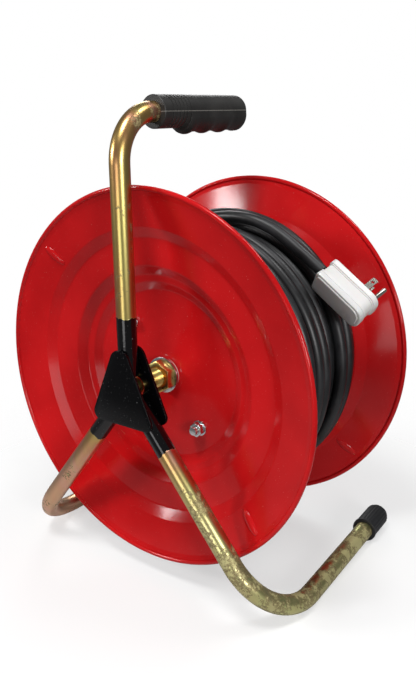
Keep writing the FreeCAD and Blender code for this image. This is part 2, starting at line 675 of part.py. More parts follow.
BLADE_GAP, GROUND_DROP = 12.7, 11.9
outlet_front = cover_face + d.outlet_proud
for name, angle in OUTLETS:
    spin = math.radians(angle)
    mid_y = d.outlet_circle * math.cos(spin)
    mid_z = d.outlet_circle * math.sin(spin)
    insert = rod(name + "_insert", d.outlet_radius - 0.05, d.outlet_length,
                 (outlet_front - d.outlet_length, mid_y, mid_z))
    tools = []
    for side, tall in ((-1, 8.4), (1, 6.9)):
        tools.append(block(name + "_slot", (d.slot_depth, 2.2, tall),
                           (outlet_front - d.slot_depth, mid_y + side * BLADE_GAP / 2 - 1.1,
                            mid_z + 4.0 - tall / 2)))
    tools.append(rod(name + "_ground", d.ground_hole, d.slot_depth,
                     (outlet_front - d.slot_depth, mid_y, mid_z + 4.0 - GROUND_DROP)))
    node(cut(name + "_cut", insert, *tools), name, (0, 0, 0), reel_turn())

screws = []
for turn, angle in enumerate(SCREW_ANGLES):
    head = turned("screw_head_%d" % turn, [(0, 0), (0, 3.5), (1.2, 3.5), (2.6, 2.2), (2.6, 0)])
    bind(head, "Placement.Base.x", far_flat + d.cover_wall)
    stem = rod("screw_stem_%d" % turn, 2.0, 9.0, (far_flat + d.cover_wall - 9.0, 0, 0))
    screws.append(around(fuse("screw_%d" % turn, head, stem), angle, d.screw_circle))
node(group("cover_screw_set", *screws), "cover_screws", (0, 0, 0), reel_turn())

button_travel, button_proud, button_length = 2.0, 5.0, 15.0
cutout_corners = [(far_flat + 3, 0), (far_flat + 3, d.breaker_radius - 0.05),
                  (cover_face, d.breaker_radius - 0.05), (cover_face, d.breaker_radius + 2),
                  (cover_face + 2, d.breaker_radius + 1), (cover_face + 2, d.button_radius + d.running_fit),
                  (cover_face - 14, d.button_radius + d.running_fit), (cover_face - 14, 0)]
node(group("cutout_placed", around(turned("cutout", cutout_corners), CUTOUT_ANGLE, d.breaker_circle)),
     "thermal_cutout", (0, 0, 0), reel_turn())
button_start = cover_face + 2 + button_proud - button_length
button_corners = [(button_start, 0), (button_start, d.button_radius),
                  (button_start + button_length - 1, d.button_radius),
                  (button_start + button_length, d.button_radius - 1), (button_start + button_length, 0)]
node(group("button_placed", around(turned("button", button_corners), CUTOUT_ANGLE, d.breaker_circle)),
     "reset_button", (0, 0, 0), reel_turn())

# Winding knob near the rim of the far disc, free to spin on a shouldered spindle.
knob_seat = d.reel_width - 20.0
knob_gap = 6.0
knob_from = knob_seat + knob_gap
knob_end = knob_from + d.knob_length
head_room, head_radius = 5.0, 7.0
spindle_corners = [
    (knob_seat - 3.1, 0), (knob_seat - 3.1, 7.0), (knob_seat - 1.7, 7.0), (knob_seat - 1.7, d.spindle_radius),
    (knob_seat + 1.3, d.spindle_radius), (knob_seat + 1.3, 8.0), (knob_from - 0.5, 8.0),
    (knob_from - 0.5, d.spindle_radius), (knob_end - head_room + 0.5, d.spindle_radius),
    (knob_end - head_room + 0.5, head_radius - 0.5), (knob_end - 1.0, head_radius - 1.0),
    (knob_end - 1.0, 0)]
node(group("spindle_placed", around(turned("spindle", spindle_corners), KNOB_LOCAL, d.knob_circle)),
     "knob_spindle", (0, 0, 0), reel_turn())
knob_bore = d.spindle_radius + d.running_fit
knob_corners = [
    (knob_from, knob_bore), (knob_from, d.knob_radius - 3.5), (knob_from + 3, d.knob_radius - 2),
    (knob_from + 20, d.knob_radius - 1.5), (knob_end - 12, d.knob_radius),
    (knob_end - 4, d.knob_radius - 0.6), (knob_end, d.knob_radius - 4),
    (knob_end, head_radius), (knob_end - head_room, head_radius), (knob_end - head_room, knob_bore)]
node(group("knob_placed", around(turned("knob", knob_corners), KNOB_LOCAL, d.knob_circle)),
     "winding_knob", (0, 0, 0), reel_turn())

# ---------------------------------------------------------------- cord, wound and free


def cord_path(name, points):
    """Wire of straight runs joined by tangent arcs, each as large as its two runs allow."""
    edges, radii = [], []
    start = points[0]
    for before, corner, after in zip(points, points[1:], points[2:]):
        one, two = corner - before, after - corner
        half = one.getAngle(two) / 2
        radius = 0.45 * min(one.Length, two.Length) / math.tan(half)
        back = radius * math.tan(half)
        one.normalize()
        two.normalize()
        first, last = corner - one * back, corner + two * back
        middle = (two - one).normalize() * (radius / math.cos(half)) + corner
        crown = middle + (corner - middle).normalize() * radius
        edges.append(Part.LineSegment(start, first).toShape())
        edges.append(Part.Arc(first, crown, last).toShape())
        radii.append(radius)
        start = last
    edges.append(Part.LineSegment(start, points[-1]).toShape())
    print(name, "radii", [round(r) for r in radii], "length", round(sum(e.Length for e in edges)))
    return Part.Wire(edges)


def cord_tube(name, points):
    """Plain round cord along a route."""
    path = cord_path(name, points)
    heading = (points[1] - points[0]).normalize()
    section = Part.Wire(Part.Circle(points[0], heading, d.cord_radius.value).toShape())
    tube = doc.addObject("Part::Feature", name)
    tube.Shape = path.makePipeShell([section], True, False)
    wanted = math.pi * d.cord_radius.value ** 2 * path.Length
    print(name, "volume over section times length", round(tube.Shape.Volume / wanted, 4))
    return tube


coil_in, coil_near, coil_far = d.drum_radius + 0.2, drum_end + 0.9, d.reel_width - drum_end - 0.9
node(turned("winding", [
    (coil_near, coil_in), (coil_near, 158), (48, 158), (54, 149.7), (116, 149.7), (120, 139),
    (142, 139), (146, 151.5),
    (coil_far - 3, 151.5), (coil_far, 141), (coil_far, coil_in)]), "cord_winding")

# The free end leaves the valley in the winding, crosses the top and ends in the plug.
FREE_END = [Vector(131, 57, 129), Vector(128, 20, 146), Vector(126, -17, 152.5),
            Vector(127, -51, 149.5), Vector(131, -84, 133.3), Vector(131, -125.4, 102.2)]
node(cord_tube("free_end", FREE_END), "cord_free_end")

# The lead inside the drum, from the wall grommet to the terminal block behind the outlets.
lead_end = Vector(139.6, -66, -5)
LEAD = [mouth - slant * gland_inside, Vector(45, -84, -60), Vector(54, -91, -39),
        Vector(73, -88, -22), Vector(95, -78, -11), Vector(117, -67.5, -6), lead_end]
node(cord_tube("inner_lead_tube", LEAD), "inner_lead", (0, 0, 0), reel_turn())
node(group("terminal_placed", block("terminal_box", (24.0, 36.0, 40.0), (140.1, -84, -25))),
     "terminal_block", (0, 0, 0), reel_turn())

# ---------------------------------------------------------------- plug on the free end
plug_along = (FREE_END[-1] - FREE_END[-2]).normalize()
plug_pins = Vector(0.83, -0.335, 0.447)
plug_pins = (plug_pins - plug_along * plug_pins.dot(plug_along)).normalize()
plug_turn = Rotation(plug_along, plug_pins.cross(plug_along), plug_pins, "XYZ")
plug_at = FREE_END[-1]


def plug_node(thing, name):
    """Plug parts are drawn with X along the cord, Z along the pins, from the cord's entry."""
    return node(thing, name, (plug_at.x, plug_at.y, plug_at.z), plug_turn)


def plug_slab(name, low, high, inset):
    """Rounded slab of the plug body between two heights."""
    slab = padded(name, "XY_Plane", [
        (inset, inset - d.plug_width / 2), (d.plug_length - inset, inset - d.plug_width / 2),
        (d.plug_length - inset, d.plug_width / 2 - inset), (inset, d.plug_width / 2 - inset)], high - low)
    doc.recompute()
    for corner, radius, far_end in (("cord", 4.0, False), ("nose", 11.0, True)):
        base = slab.Tip
        edges = [i for i, e in enumerate(base.Shape.Edges, start=1)
                 if e.Curve.TypeId == "Part::GeomLine" and abs(e.tangentAt(e.FirstParameter).z) > 0.99
                 and (e.CenterOfMass.x > 30.0) == far_end]
        rounding = slab.newObject("PartDesign::Fillet", "%s_%s" % (name, corner))
        rounding.Base = (base, ["Edge%d" % i for i in edges[:2]])
        rounding.Radius = radius
        slab.Tip = rounding
        doc.recompute()
    slab.Placement.Base = Vector(0, 0, number(low))
    return slab


back_face, pin_face = -d.plug_depth / 2, d.plug_depth / 2
split, waist_end = back_face + 5.0, pin_face - 6.0
plug_node(group("plug_back_placed", plug_slab("plug_back_slab", back_face, split, 0.0)), "plug_back")
plug_node(fuse("plug_front", plug_slab("plug_waist", split, waist_end, 1.4),
               plug_slab("plug_flange", waist_end, pin_face, 0.0)), "plug_body")
BLADE_X, GROUND_X = 40.0, 51.9
blade_tall, blade_wide, blade_thick = 18.5, 6.35, 1.5
ground_radius, ground_tall = 2.4, 21.5
blades = []
for side in (-1, 1):
    blade = block("blade", (blade_wide, blade_thick, blade_tall),
                  (BLADE_X - blade_wide / 2, side * BLADE_GAP / 2 - blade_thick / 2, pin_face))
    eye = rod("blade_eye", 1.6, 4.0, (BLADE_X, side * BLADE_GAP / 2 + 2.0, pin_face + blade_tall - 5.0),
              Vector(0, -1, 0))
    blades.append(cut("blade_with_eye", blade, eye))
plug_node(group("blade_pair", *blades), "plug_blades")
pin = rod("ground_rod", ground_radius, ground_tall, (GROUND_X, 0, pin_face), Z_AXIS)
tip = doc.addObject("Part::Sphere", "ground_tip")
tip.Radius = ground_radius
bind(tip, "Placement.Base.x", GROUND_X)
bind(tip, "Placement.Base.z", pin_face + ground_tall)
plug_node(fuse("ground_whole", pin, tip), "plug_ground_pin")

# ---------------------------------------------------------------- check and write
doc.recompute()
failed = [thing.Name for thing in doc.Objects if {"Invalid", "Error"} & set(thing.State)]
if failed:
    raise RuntimeError("failed objects: " + ", ".join(failed))
for name, thing in nodes.items():
    shape = thing.Shape
    if shape.isNull() or not shape.isValid() or not shape.Solids:
        raise RuntimeError("bad shape: " + name)
os.makedirs("parts", exist_ok=True)
for name, thing in nodes.items():
    thing.Shape.exportStep("parts/%s.step" % name)
print(len(nodes), "sub-parts written")
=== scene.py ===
# %% [markdown]
# # An extension cord reel on a one-sided tube stand
#
# This lesson dresses a finished CAD model in Blender. The model is a carry-handle cord reel: two
# pressed steel discs on a drum, a stand bent from plated tube, heavy rubber cord on the drum and
# sockets in the open side. Shapes that are already right keep their CAD mesh and only get a
# finish. Soft or finely moulded pieces are modelled again here and stand in for the plain ones.

# %% Load the model
import json
import math

import bmesh
import bpy
from mathutils import Matrix, Vector

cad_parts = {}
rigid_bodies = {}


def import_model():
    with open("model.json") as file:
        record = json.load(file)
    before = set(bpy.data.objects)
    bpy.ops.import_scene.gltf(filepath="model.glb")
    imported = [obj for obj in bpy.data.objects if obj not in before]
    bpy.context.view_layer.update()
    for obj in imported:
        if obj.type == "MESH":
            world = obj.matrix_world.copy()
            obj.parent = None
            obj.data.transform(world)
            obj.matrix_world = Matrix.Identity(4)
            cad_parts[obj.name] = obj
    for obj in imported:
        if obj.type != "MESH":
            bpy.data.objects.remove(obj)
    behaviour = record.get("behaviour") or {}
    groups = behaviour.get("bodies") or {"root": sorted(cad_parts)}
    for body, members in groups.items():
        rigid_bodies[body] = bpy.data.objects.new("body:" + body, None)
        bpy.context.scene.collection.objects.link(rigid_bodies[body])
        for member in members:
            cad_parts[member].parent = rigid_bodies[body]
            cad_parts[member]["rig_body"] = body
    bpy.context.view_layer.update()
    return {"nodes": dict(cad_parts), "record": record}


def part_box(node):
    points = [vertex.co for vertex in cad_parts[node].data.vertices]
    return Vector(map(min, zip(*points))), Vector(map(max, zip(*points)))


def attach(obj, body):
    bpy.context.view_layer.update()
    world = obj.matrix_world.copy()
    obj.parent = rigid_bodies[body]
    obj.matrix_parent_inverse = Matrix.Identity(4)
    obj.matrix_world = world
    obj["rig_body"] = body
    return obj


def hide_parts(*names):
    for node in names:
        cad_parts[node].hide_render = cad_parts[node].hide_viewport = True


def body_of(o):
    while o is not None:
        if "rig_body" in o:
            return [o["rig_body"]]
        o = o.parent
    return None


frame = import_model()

for flat in list(bpy.data.materials):
    bpy.data.materials.remove(flat)

# %% [markdown]
# Every place in this lesson comes from a few driving sizes. The axle is the best anchor, because
# the reel, the discs and the stand are all drawn round it, so its height and the plane of the near
# rim are read from the CAD nodes and everything else is measured from there.

# %% Driving sizes
MM = 0.001
AXLE_Z = sum(corner.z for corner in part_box("axle_shaft")) / 2
RIM_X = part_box("near_disc")[0].x
CORD = 12.5 * MM
DRUM_RADIUS = (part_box("drum_core")[1].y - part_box("drum_core")[0].y) / 2
print("axle height", round(AXLE_Z, 4), "near rim at", round(RIM_X, 4), "drum radius", round(DRUM_RADIUS, 4))

# %% [markdown]
# The camera comes before anything else, because it decides which side of the reel needs the most
# care. It stands off to one side of the stand and looks slightly down on it, so it gets a place and
# three angles: how far it turns, how far it tips down and how far it leans. A matrix made of its
# right, up and back directions sets all of them at once.

# %% Camera
EYE = Vector((-0.58275, -0.4333, 0.4376))
TURN, TIP, LEAN = math.radians(36.45), math.radians(15.65), math.radians(-0.62)
LENS = 37.15
ahead = Vector((math.cos(TURN) * math.cos(TIP), math.sin(TURN) * math.cos(TIP), -math.sin(TIP)))
level = Vector((math.sin(TURN), -math.cos(TURN), 0))
raised = level.cross(ahead)
right = level * math.cos(LEAN) + raised * math.sin(LEAN)
up = raised * math.cos(LEAN) - level * math.sin(LEAN)
camera_data = bpy.data.cameras.new("camera")
camera_data.lens = LENS
camera = bpy.data.objects.new("camera", camera_data)
bpy.context.scene.collection.objects.link(camera)
camera.matrix_world = Matrix.Translation(EYE) @ Matrix((right, up, -ahead)).transposed().to_4x4()
bpy.context.scene.camera = camera
print("camera", round((EYE - Vector((0, 0, AXLE_Z))).length, 3), "m from the axle")

# %% [markdown]
# Six square lamps and a plain surround are all the studio there is. Each lamp is aimed at the axle
# and is less than a metre wide, so the enamel mirrors it as one clear highlight. The surround is
# white where the camera looks straight at it and dark grey for every other ray, because red and
# black gloss would turn milky in a white room. The Light Path node tells the two kinds of ray apart.

# %% Studio
STUDIO_WHITE = (1, 1, 1, 1)
STUDIO_FILL = (0.15, 0.15, 0.155, 1)
LAMPS = [("ceiling_softbox", (-0.7, -0.1, 1.7), 0.4, 15), ("left_softbox", (-1.3, 1.3, 0.9), 0.35, 15),
         ("low_softbox", (-1.5, -0.2, 0.15), 0.6, 3.5), ("right_softbox", (-0.9, -1.6, 0.6), 0.45, 15),
         ("high_softbox", (0.5, -0.8, 1.9), 0.5, 10), ("back_softbox", (1.4, 1.2, 1.4), 0.8, 9)]
# A Mix node has a set of sockets for each kind of value under the same names, so the colour ones
# are found by their place in the list.
MIX_SHARE, MIX_FIRST, MIX_SECOND, MIX_COLOUR = 0, 6, 7, 2


def lamp(name, place, aim, size, power):
    """Square area lamp at a place, turned to a point."""
    data = bpy.data.lights.new(name, "AREA")
    data.size = size
    data.energy = power
    made = bpy.data.objects.new(name, data)
    bpy.context.scene.collection.objects.link(made)
    made.location = place
    made.rotation_euler = (Vector(aim) - Vector(place)).to_track_quat("-Z", "Y").to_euler()


for lamp_name, lamp_place, lamp_size, lamp_power in LAMPS:
    lamp(lamp_name, lamp_place, (0, 0, AXLE_Z), lamp_size, lamp_power)
world = bpy.data.worlds.new("studio")
world.use_nodes = True
sky = world.node_tree.nodes["Background"]
rays = world.node_tree.nodes.new("ShaderNodeLightPath")
tone = world.node_tree.nodes.new("ShaderNodeMix")
tone.data_type = "RGBA"
tone.inputs[MIX_FIRST].default_value = STUDIO_FILL
tone.inputs[MIX_SECOND].default_value = STUDIO_WHITE
world.node_tree.links.new(rays.outputs["Is Camera Ray"], tone.inputs[MIX_SHARE])
world.node_tree.links.new(tone.outputs[MIX_COLOUR], sky.inputs["Color"])
bpy.context.scene.world = world
bpy.context.scene.view_settings.view_transform = "Standard"

# %% [markdown]
# Finishes are built from shader nodes. Wiring dozens of Math nodes by hand hides the idea, so one
# small class wraps a socket and lets ordinary sums make the nodes: `1 - mask` adds a Subtract
# node. A second class holds the material and makes every other kind of node in one way: its kind,
# its settings, then what goes into its sockets.

# %% Shader arithmetic


class Wire:
    """A value on its way through a finish; sums on it add Math nodes."""

    def __init__(self, finish, socket):
        self.finish = finish
        self.socket = socket

    def math(self, operation, *values):
        """Adds a Math node that works on these values, in order."""
        return self.finish.node("Math", {"operation": operation}, dict(enumerate(values)))

    def __add__(self, other):
        return self.math("ADD", self, other)

    def __sub__(self, other):
        return self.math("SUBTRACT", self, other)

    def __rsub__(self, other):
        return self.math("SUBTRACT", other, self)

    def __mul__(self, other):
        return self.math("MULTIPLY", self, other)

    def __pow__(self, other):
        return self.math("POWER", self, other)

    def at_most(self, other):
        return self.math("MINIMUM", self, other)

    __radd__ = __add__
    __rmul__ = __mul__


class Finish:
    """A material with a Principled shader, and the nodes that feed it."""

    def __init__(self, name, **constants):
        self.material = bpy.data.materials.new(name)
        self.material.use_nodes = True
        self.tree = self.material.node_tree
        self.shader = self.tree.nodes["Principled BSDF"]
        for socket, value in constants.items():
            self.shader.inputs[socket_name(socket)].default_value = value

    def node(self, kind, settings, sockets, output=0):
        """Adds one shader node: its kind, its settings, then what goes into its sockets."""
        made = self.tree.nodes.new("ShaderNode" + kind)
        for key, value in settings.items():
            if key == "stops":
                fill_ramp(made.color_ramp, value)
            else:
                setattr(made, key, value)
        for key, value in sockets.items():
            self.join(made.inputs[key], value)
        return Wire(self, made.outputs[output])

    def join(self, socket, value):
        """Links a wire to a socket, or sets the socket to a plain value."""
        if isinstance(value, Wire):
            self.tree.links.new(value.socket, socket)
        else:
            socket.default_value = value

    def feed(self, **sockets):
        """Joins values to the Principled shader, for example base_color=..."""
        for name, value in sockets.items():
            self.join(self.shader.inputs[socket_name(name)], value)

    def place(self):
        """Object coordinates, in metres from the model's origin."""
        return self.node("TexCoord", {}, {}, "Object")

    def noise(self, scale, detail=3.0, rough=0.5, at=None):
        """Cloudy grey from 0 to 1; a larger scale gives finer clouds."""
        return self.node("TexNoise", {}, {"Vector": at or self.place(), "Scale": scale,
                                          "Detail": detail, "Roughness": rough})

    def grade(self, value, *stops):
        """Colours, or greys, along a value; stops are (position, colour)."""
        return self.node("ValToRGB", {"stops": stops}, {"Fac": value})

    def step(self, value, low, high):
        """0 below low, 1 above high, smooth between."""
        return self.node("MapRange", {"interpolation_type": "SMOOTHSTEP"},
                         {"Value": value, "From Min": low, "From Max": high})

    def blend(self, share, first, second):
        """The first colour where share is 0, the second where it is 1."""
        return self.node("Mix", {"data_type": "RGBA"},
                         {MIX_SHARE: share, MIX_FIRST: first, MIX_SECOND: second}, MIX_COLOUR)

    def axes(self, vector):
        """The x, y and z of a vector as three wires."""
        made = self.node("SeparateXYZ", {}, {0: vector})
        node = made.socket.node
        return [Wire(self, node.outputs[i]) for i in range(3)]

    def stretched(self, x, y, z):
        """Object coordinates scaled along each axis; a small number draws a pattern out."""
        return self.node("Mapping", {}, {"Vector": self.place(), "Scale": (x, y, z)})

    def bump(self, height, distance, strength=1.0):
        """Surface relief from a height of 0 to 1 times a distance in metres."""
        return self.node("Bump", {}, {"Height": height, "Distance": distance, "Strength": strength})


def socket_name(argument):
    """The name of a Principled socket from the keyword that stands for it."""
    return argument.replace("_", " ").title().replace("Ior", "IOR")


def fill_ramp(ramp, stops):
    """Sets a colour ramp's stops; a number stands for a grey."""
    while len(ramp.elements) < len(stops):
        ramp.elements.new(0.5)
    for element, (position, colour) in zip(ramp.elements, stops):
        element.position = position
        element.color = colour if isinstance(colour, tuple) else (colour, colour, colour, 1)


def tint(red, green, blue):
    """A colour picked from a paint chart, as the linear colour that shaders need."""
    linear = [((v / 255 + 0.055) / 1.055) ** 2.4 if v > 10 else v / 3295 for v in (red, green, blue)]
    return (*linear, 1)


print("shader helpers ready, for example tint(190, 24, 28) is", [round(v, 3) for v in tint(190, 24, 28)])

# %% [markdown]
# The cord is one long rubber lead. It comes through a grommet in the drum, is wound back and
# forth in layers, and its free end lies over the top and ends in the plug. A bent tube has no
# fixed length in edit mode, so it is a curve: each new point of a turn rests on whatever cord
# already lies under it at that angle, which is how a real winding builds up. `STATIONS` says how
# far across the drum the cord has travelled after so many turns, in millimetres. Rubber gives way
# under tension, so turns may lie a little nearer than a diameter, and `SWAY` keeps them uneven.

# %% Cord route
TURN_POINTS = 24
STEP = 2 * math.pi / TURN_POINTS
GLAND_X, GLAND_ANGLE = 43 * MM, math.radians(243.7)
DRUM_GAP = 0.3 * MM
PACKED = 0.88 * CORD
SWAY = ((0.35 * MM, 0.37, 0), (0.3 * MM, 0.113, 1))
STATIONS = [(0, 43), (1, 30.2), (12.1, 171.3), (23.2, 30.2), (28.8, 109.5), (29.05, 110.5),
            (29.5, 168), (30, 171.3), (30.5, 160), (31, 158.6), (31.5, 147.5), (32, 146.8), (32.5, 131)]
FREE_END = [(0.02585, 0.057, 0.340), (0.02285, 0.020, 0.357), (0.02085, -0.017, 0.3635),
            (0.02185, -0.051, 0.3605), (0.02585, -0.084, 0.3443), (0.02585, -0.1254, 0.3132)]


def across(turns):
    """How far the cord is from the near rim after so many turns, in metres."""
    for (start, left), (end, right_side) in zip(STATIONS, STATIONS[1:]):
        if turns <= end:
            return (left + (right_side - left) * (turns - start) / (end - start)) * MM
    return STATIONS[-1][1] * MM


def wound_layers(turns):
    """(distance from the near rim, radius, angle) of each point of the winding."""
    laid = []
    for count in range(round(turns * TURN_POINTS)):
        angle = GLAND_ANGLE + count * STEP
        sway = sum(size * math.sin(count * pace + start) for size, pace, start in SWAY)
        x = across(count / TURN_POINTS) + sway * min(1, count / TURN_POINTS)
        radius = DRUM_RADIUS + CORD / 2 + DRUM_GAP
        for below_x, below_radius, _ in laid[count % TURN_POINTS::TURN_POINTS]:
            gap = abs(x - below_x)
            if gap < PACKED:
                radius = max(radius, below_radius + math.sqrt(PACKED ** 2 - gap ** 2))
        laid.append((x, radius, angle))
    return laid


layers = wound_layers(STATIONS[-1][0])
print(len(layers), "points in", round(len(layers) / TURN_POINTS, 1), "turns, outermost radius",
      round(max(radius for _, radius, _ in layers) / MM, 1), "mm")

# %% [markdown]
# The curve is a NURBS spline of order 3. Abreast of a control point it passes a little inside it,
# so a ring of 24 points comes out smaller than the circle that the points lie on. `POLYGON_SHARE` is
# how much, and every radius is divided by it. The radii of a few neighbours are averaged first,
# which turns each step over a crossing into a slope, as stiff cord would lie.

# %% Cord curve
POLYGON_SHARE = 0.5 + 0.5 * math.cos(math.pi / TURN_POINTS) ** 2
coil_points = []
for count, (x, radius, angle) in enumerate(layers):
    near = layers[max(0, count - 2):count + 3]
    radius = sum(entry[1] for entry in near) / len(near) / POLYGON_SHARE
    coil_points.append(Vector((RIM_X + x, radius * math.cos(angle), AXLE_Z + radius * math.sin(angle))))
mouth = Vector((RIM_X + GLAND_X, DRUM_RADIUS * math.cos(GLAND_ANGLE),
                AXLE_Z + DRUM_RADIUS * math.sin(GLAND_ANGLE)))
route = [mouth] + coil_points[1:] + [Vector(point) for point in FREE_END]
cord_data = bpy.data.curves.new("power_cord", "CURVE")
cord_data.dimensions = "3D"
cord_data.bevel_depth = CORD / 2
cord_data.bevel_resolution = 4
cord_data.resolution_u = 4
cord_data.use_fill_caps = True
spline = cord_data.splines.new("NURBS")
spline.points.add(len(route) - 1)
for point, place in zip(spline.points, route):
    point.co = (*place, 1)
spline.order_u = 3
spline.use_endpoint_u = True
power_cord = bpy.data.objects.new("power_cord", cord_data)
bpy.context.scene.collection.objects.link(power_cord)
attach(power_cord, "reel")
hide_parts("cord_winding", "cord_free_end")
print("the cord is", round(spline.calc_length(), 2), "m long")

# %% [markdown]
# Stove enamel is a hard, wet-looking paint baked on steel. Up close it is never quite flat: it has
# a faint orange peel, a little dust and a few rub marks from stacking. One red would look like
# plastic, so a broad noise shifts the red a little, and a fine bump breaks up the reflections.

# %% Red enamel
def enamel(name, dark, light, rough):
    """Glossy paint from a dark red to a light one, with orange peel, fine scuffs and dust."""
    made = Finish(name, specular_ior_level=0.24)
    cloud = made.step(made.noise(9, 4), 0.35, 0.65)
    scuffs = made.step(made.noise(60, 5, 0.7, made.stretched(1, 0.25, 4)), 0.66, 0.74)
    dust = made.step(made.noise(900, 1), 0.74, 0.78)
    colour = made.blend(cloud, dark, light)
    made.feed(base_color=made.blend(dust * 0.18, colour, tint(235, 190, 180)),
              roughness=rough + cloud * 0.03 + scuffs * 0.14 + dust * 0.2,
              normal=made.bump(made.noise(330, 1), 0.04 * MM, 0.5))
    return made


red_enamel = enamel("red_enamel", tint(170, 15, 18), tint(190, 21, 24), 0.12)
print("made", red_enamel.material.name)

# %% [markdown]
# The stand is yellow-passivated tube: zinc plating dipped in chromate. The film is thinner than a
# wavelength of light here and thicker there, so it goes from gold to olive green and copper pink,
# and it dries in dull, mottled patches where the bath ran off. The welded end is dipped in black
# gloss paint, whose edge wanders. All of that is one material, mixed by masks: `painted` grows
# from the distance to the axle, and `film` from noise stretched along the tube. Low on the stand
# one leg is tinted green and the other pink.

# %% Plated tube
PAINT_REACH, PAINT_FADE, PAINT_WANDER = 71 * MM, 0.3 * MM, 7 * MM
LEG_TINT_FROM, LEG_TINT_FULL = AXLE_Z - 0.04, AXLE_Z - 0.12


def plated_tube(name):
    """Chromated zinc in drifting colours, dull patches with dark rims, and black paint at the hub."""
    made = Finish(name)
    x, y, z = made.axes(made.place())
    from_axle = ((y * y) + (z - AXLE_Z) * (z - AXLE_Z)) ** 0.5
    edge = made.noise(140, 2) * PAINT_WANDER - PAINT_WANDER / 2
    painted = made.step(from_axle + edge, PAINT_REACH + PAINT_FADE, PAINT_REACH - PAINT_FADE)
    film = made.noise(60, 1, 0.4, made.stretched(1.0, 1.0, 0.12))
    metal = made.grade(film, (0.30, tint(190, 178, 108)), (0.44, tint(206, 172, 104)),
                       (0.54, tint(204, 154, 104)), (0.64, tint(214, 156, 134)),
                       (0.76, tint(192, 190, 124)))
    low = made.step(z, LEG_TINT_FROM, LEG_TINT_FULL)
    metal = made.blend(low * made.step(y, -0.02, -0.06) * 0.75, metal, tint(204, 208, 148))
    metal = made.blend(low * made.step(y, 0.02, 0.06) * 0.75, metal, tint(240, 188, 158))
    patch = made.noise(46, 6, 0.72, made.stretched(1.0, 0.7, 0.7))
    patch = patch + low * made.step(y, 0.03, -0.09) * 0.12 + 0.01
    grains = made.noise(420, 4, 0.75)
    mottle = patch + (grains - 0.5) * 0.3
    dull = made.step(mottle, 0.60, 0.64)
    rim = dull * (1 - made.step(mottle, 0.64, 0.69))
    metal = made.blend(dull * 0.8, metal, tint(182, 174, 124))
    metal = made.blend(rim * 0.8, metal, tint(92, 70, 44))
    specks = made.step(made.noise(620, 2), 0.71, 0.75)
    paint = made.blend(specks * 0.5, tint(5, 5, 6), tint(150, 150, 152))
    made.feed(base_color=made.blend(painted, metal, paint), metallic=(1 - painted) * (1 - dull * 0.45),
              roughness=painted * 0.1 + (1 - painted) * (0.27 + dull * 0.22 + grains * 0.08),
              normal=made.bump(made.noise(500, 2) * (0.3 + painted) + painted * 2.0, 0.05 * MM, 0.6))
    return made


yellow_zinc = plated_tube("yellow_zinc_tube")
print("made", yellow_zinc.material.name)

# %% [markdown]
# The hub plates are brushed with the same black gloss by hand. Paint that thick has runs and a
# coarse orange peel, small white specks of grit, and bare scratches along the edges.

# %% Black paint
def black_gloss(name):
    """Thick brushed paint with grit and bare scratches."""
    made = Finish(name, specular_ior_level=0.2)
    specks = made.step(made.noise(700, 3, 0.7), 0.69, 0.75)
    scratch = made.step(made.noise(170, 6, 0.8, made.stretched(1, 2.5, 1)), 0.66, 0.71)
    bare = (specks + scratch * 0.7).at_most(0.6)
    made.feed(base_color=made.blend(bare, tint(5, 5, 6), tint(168, 168, 170)),
              roughness=0.1 + made.noise(30) * 0.08 + scratch * 0.2,
              normal=made.bump(made.noise(260, 3) + made.noise(60, 2) * 2.0, 0.12 * MM, 0.5))
    return made


black_paint = black_gloss("black_gloss_paint")
print("made", black_paint.material.name)

# %% [markdown]
# Small hardware is plated too. The axle nut has the same chromate film as the tube but thicker,
# almost brass coloured; washers, tie bolts and screws are bright zinc, blue-white with faint
# rub marks. The same recipe serves them and the plug's nickel pins: a metal whose colour drifts
# between a few stops.

# %% Plated hardware
def plated(name, rough, *colours):
    """Metal whose colour drifts through the given colours."""
    made = Finish(name, metallic=1.0)
    drift = made.noise(70, 4, 0.6)
    stops = [(0.3 + 0.4 * i / (len(colours) - 1), colour) for i, colour in enumerate(colours)]
    wear = made.step(made.noise(700, 3, 0.7), 0.6, 0.72)
    made.feed(base_color=made.grade(drift, *stops), roughness=rough + drift * 0.08 + wear * 0.18,
              normal=made.bump(made.noise(900, 2), 0.02 * MM, 0.5))
    return made


gold_zinc = plated("gold_zinc_thread", 0.24, tint(196, 156, 84), tint(222, 190, 112), tint(198, 198, 130))
bright_zinc = plated("bright_zinc", 0.17, tint(186, 188, 192), tint(216, 218, 220), tint(204, 204, 196))
nickel = plated("nickel_pin", 0.13, tint(176, 172, 160), tint(214, 210, 200), tint(196, 192, 182))
print("made", gold_zinc.material.name, bright_zinc.material.name, nickel.material.name)

# %% [markdown]
# Black rubber is not black: talc from the mould and hand grease leave it between charcoal and
# grey, and it hardly shines. The grip's grain is a tight bump. The cord's sheath is smoother, with
# streaks that run along it; on a winding round the X axis, a noise that reads only x and the
# distance from the axle is drawn out along the turns by itself.

# %% Rubber
def rubber(name, dark, light, rough, grain):
    """Dull rubber with bloom and lint; a larger grain is finer."""
    made = Finish(name, specular_ior_level=0.36)
    bloom = made.step(made.noise(26, 4, 0.6), 0.3, 0.75)
    lint = made.step(made.noise(800, 2), 0.73, 0.77)
    made.feed(base_color=made.blend((bloom * 0.4 + lint * 0.4).at_most(1), dark, light),
              roughness=rough - bloom * 0.06,
              normal=made.bump(made.noise(grain, 2, 0.6), 0.05 * MM, 0.4))
    return made


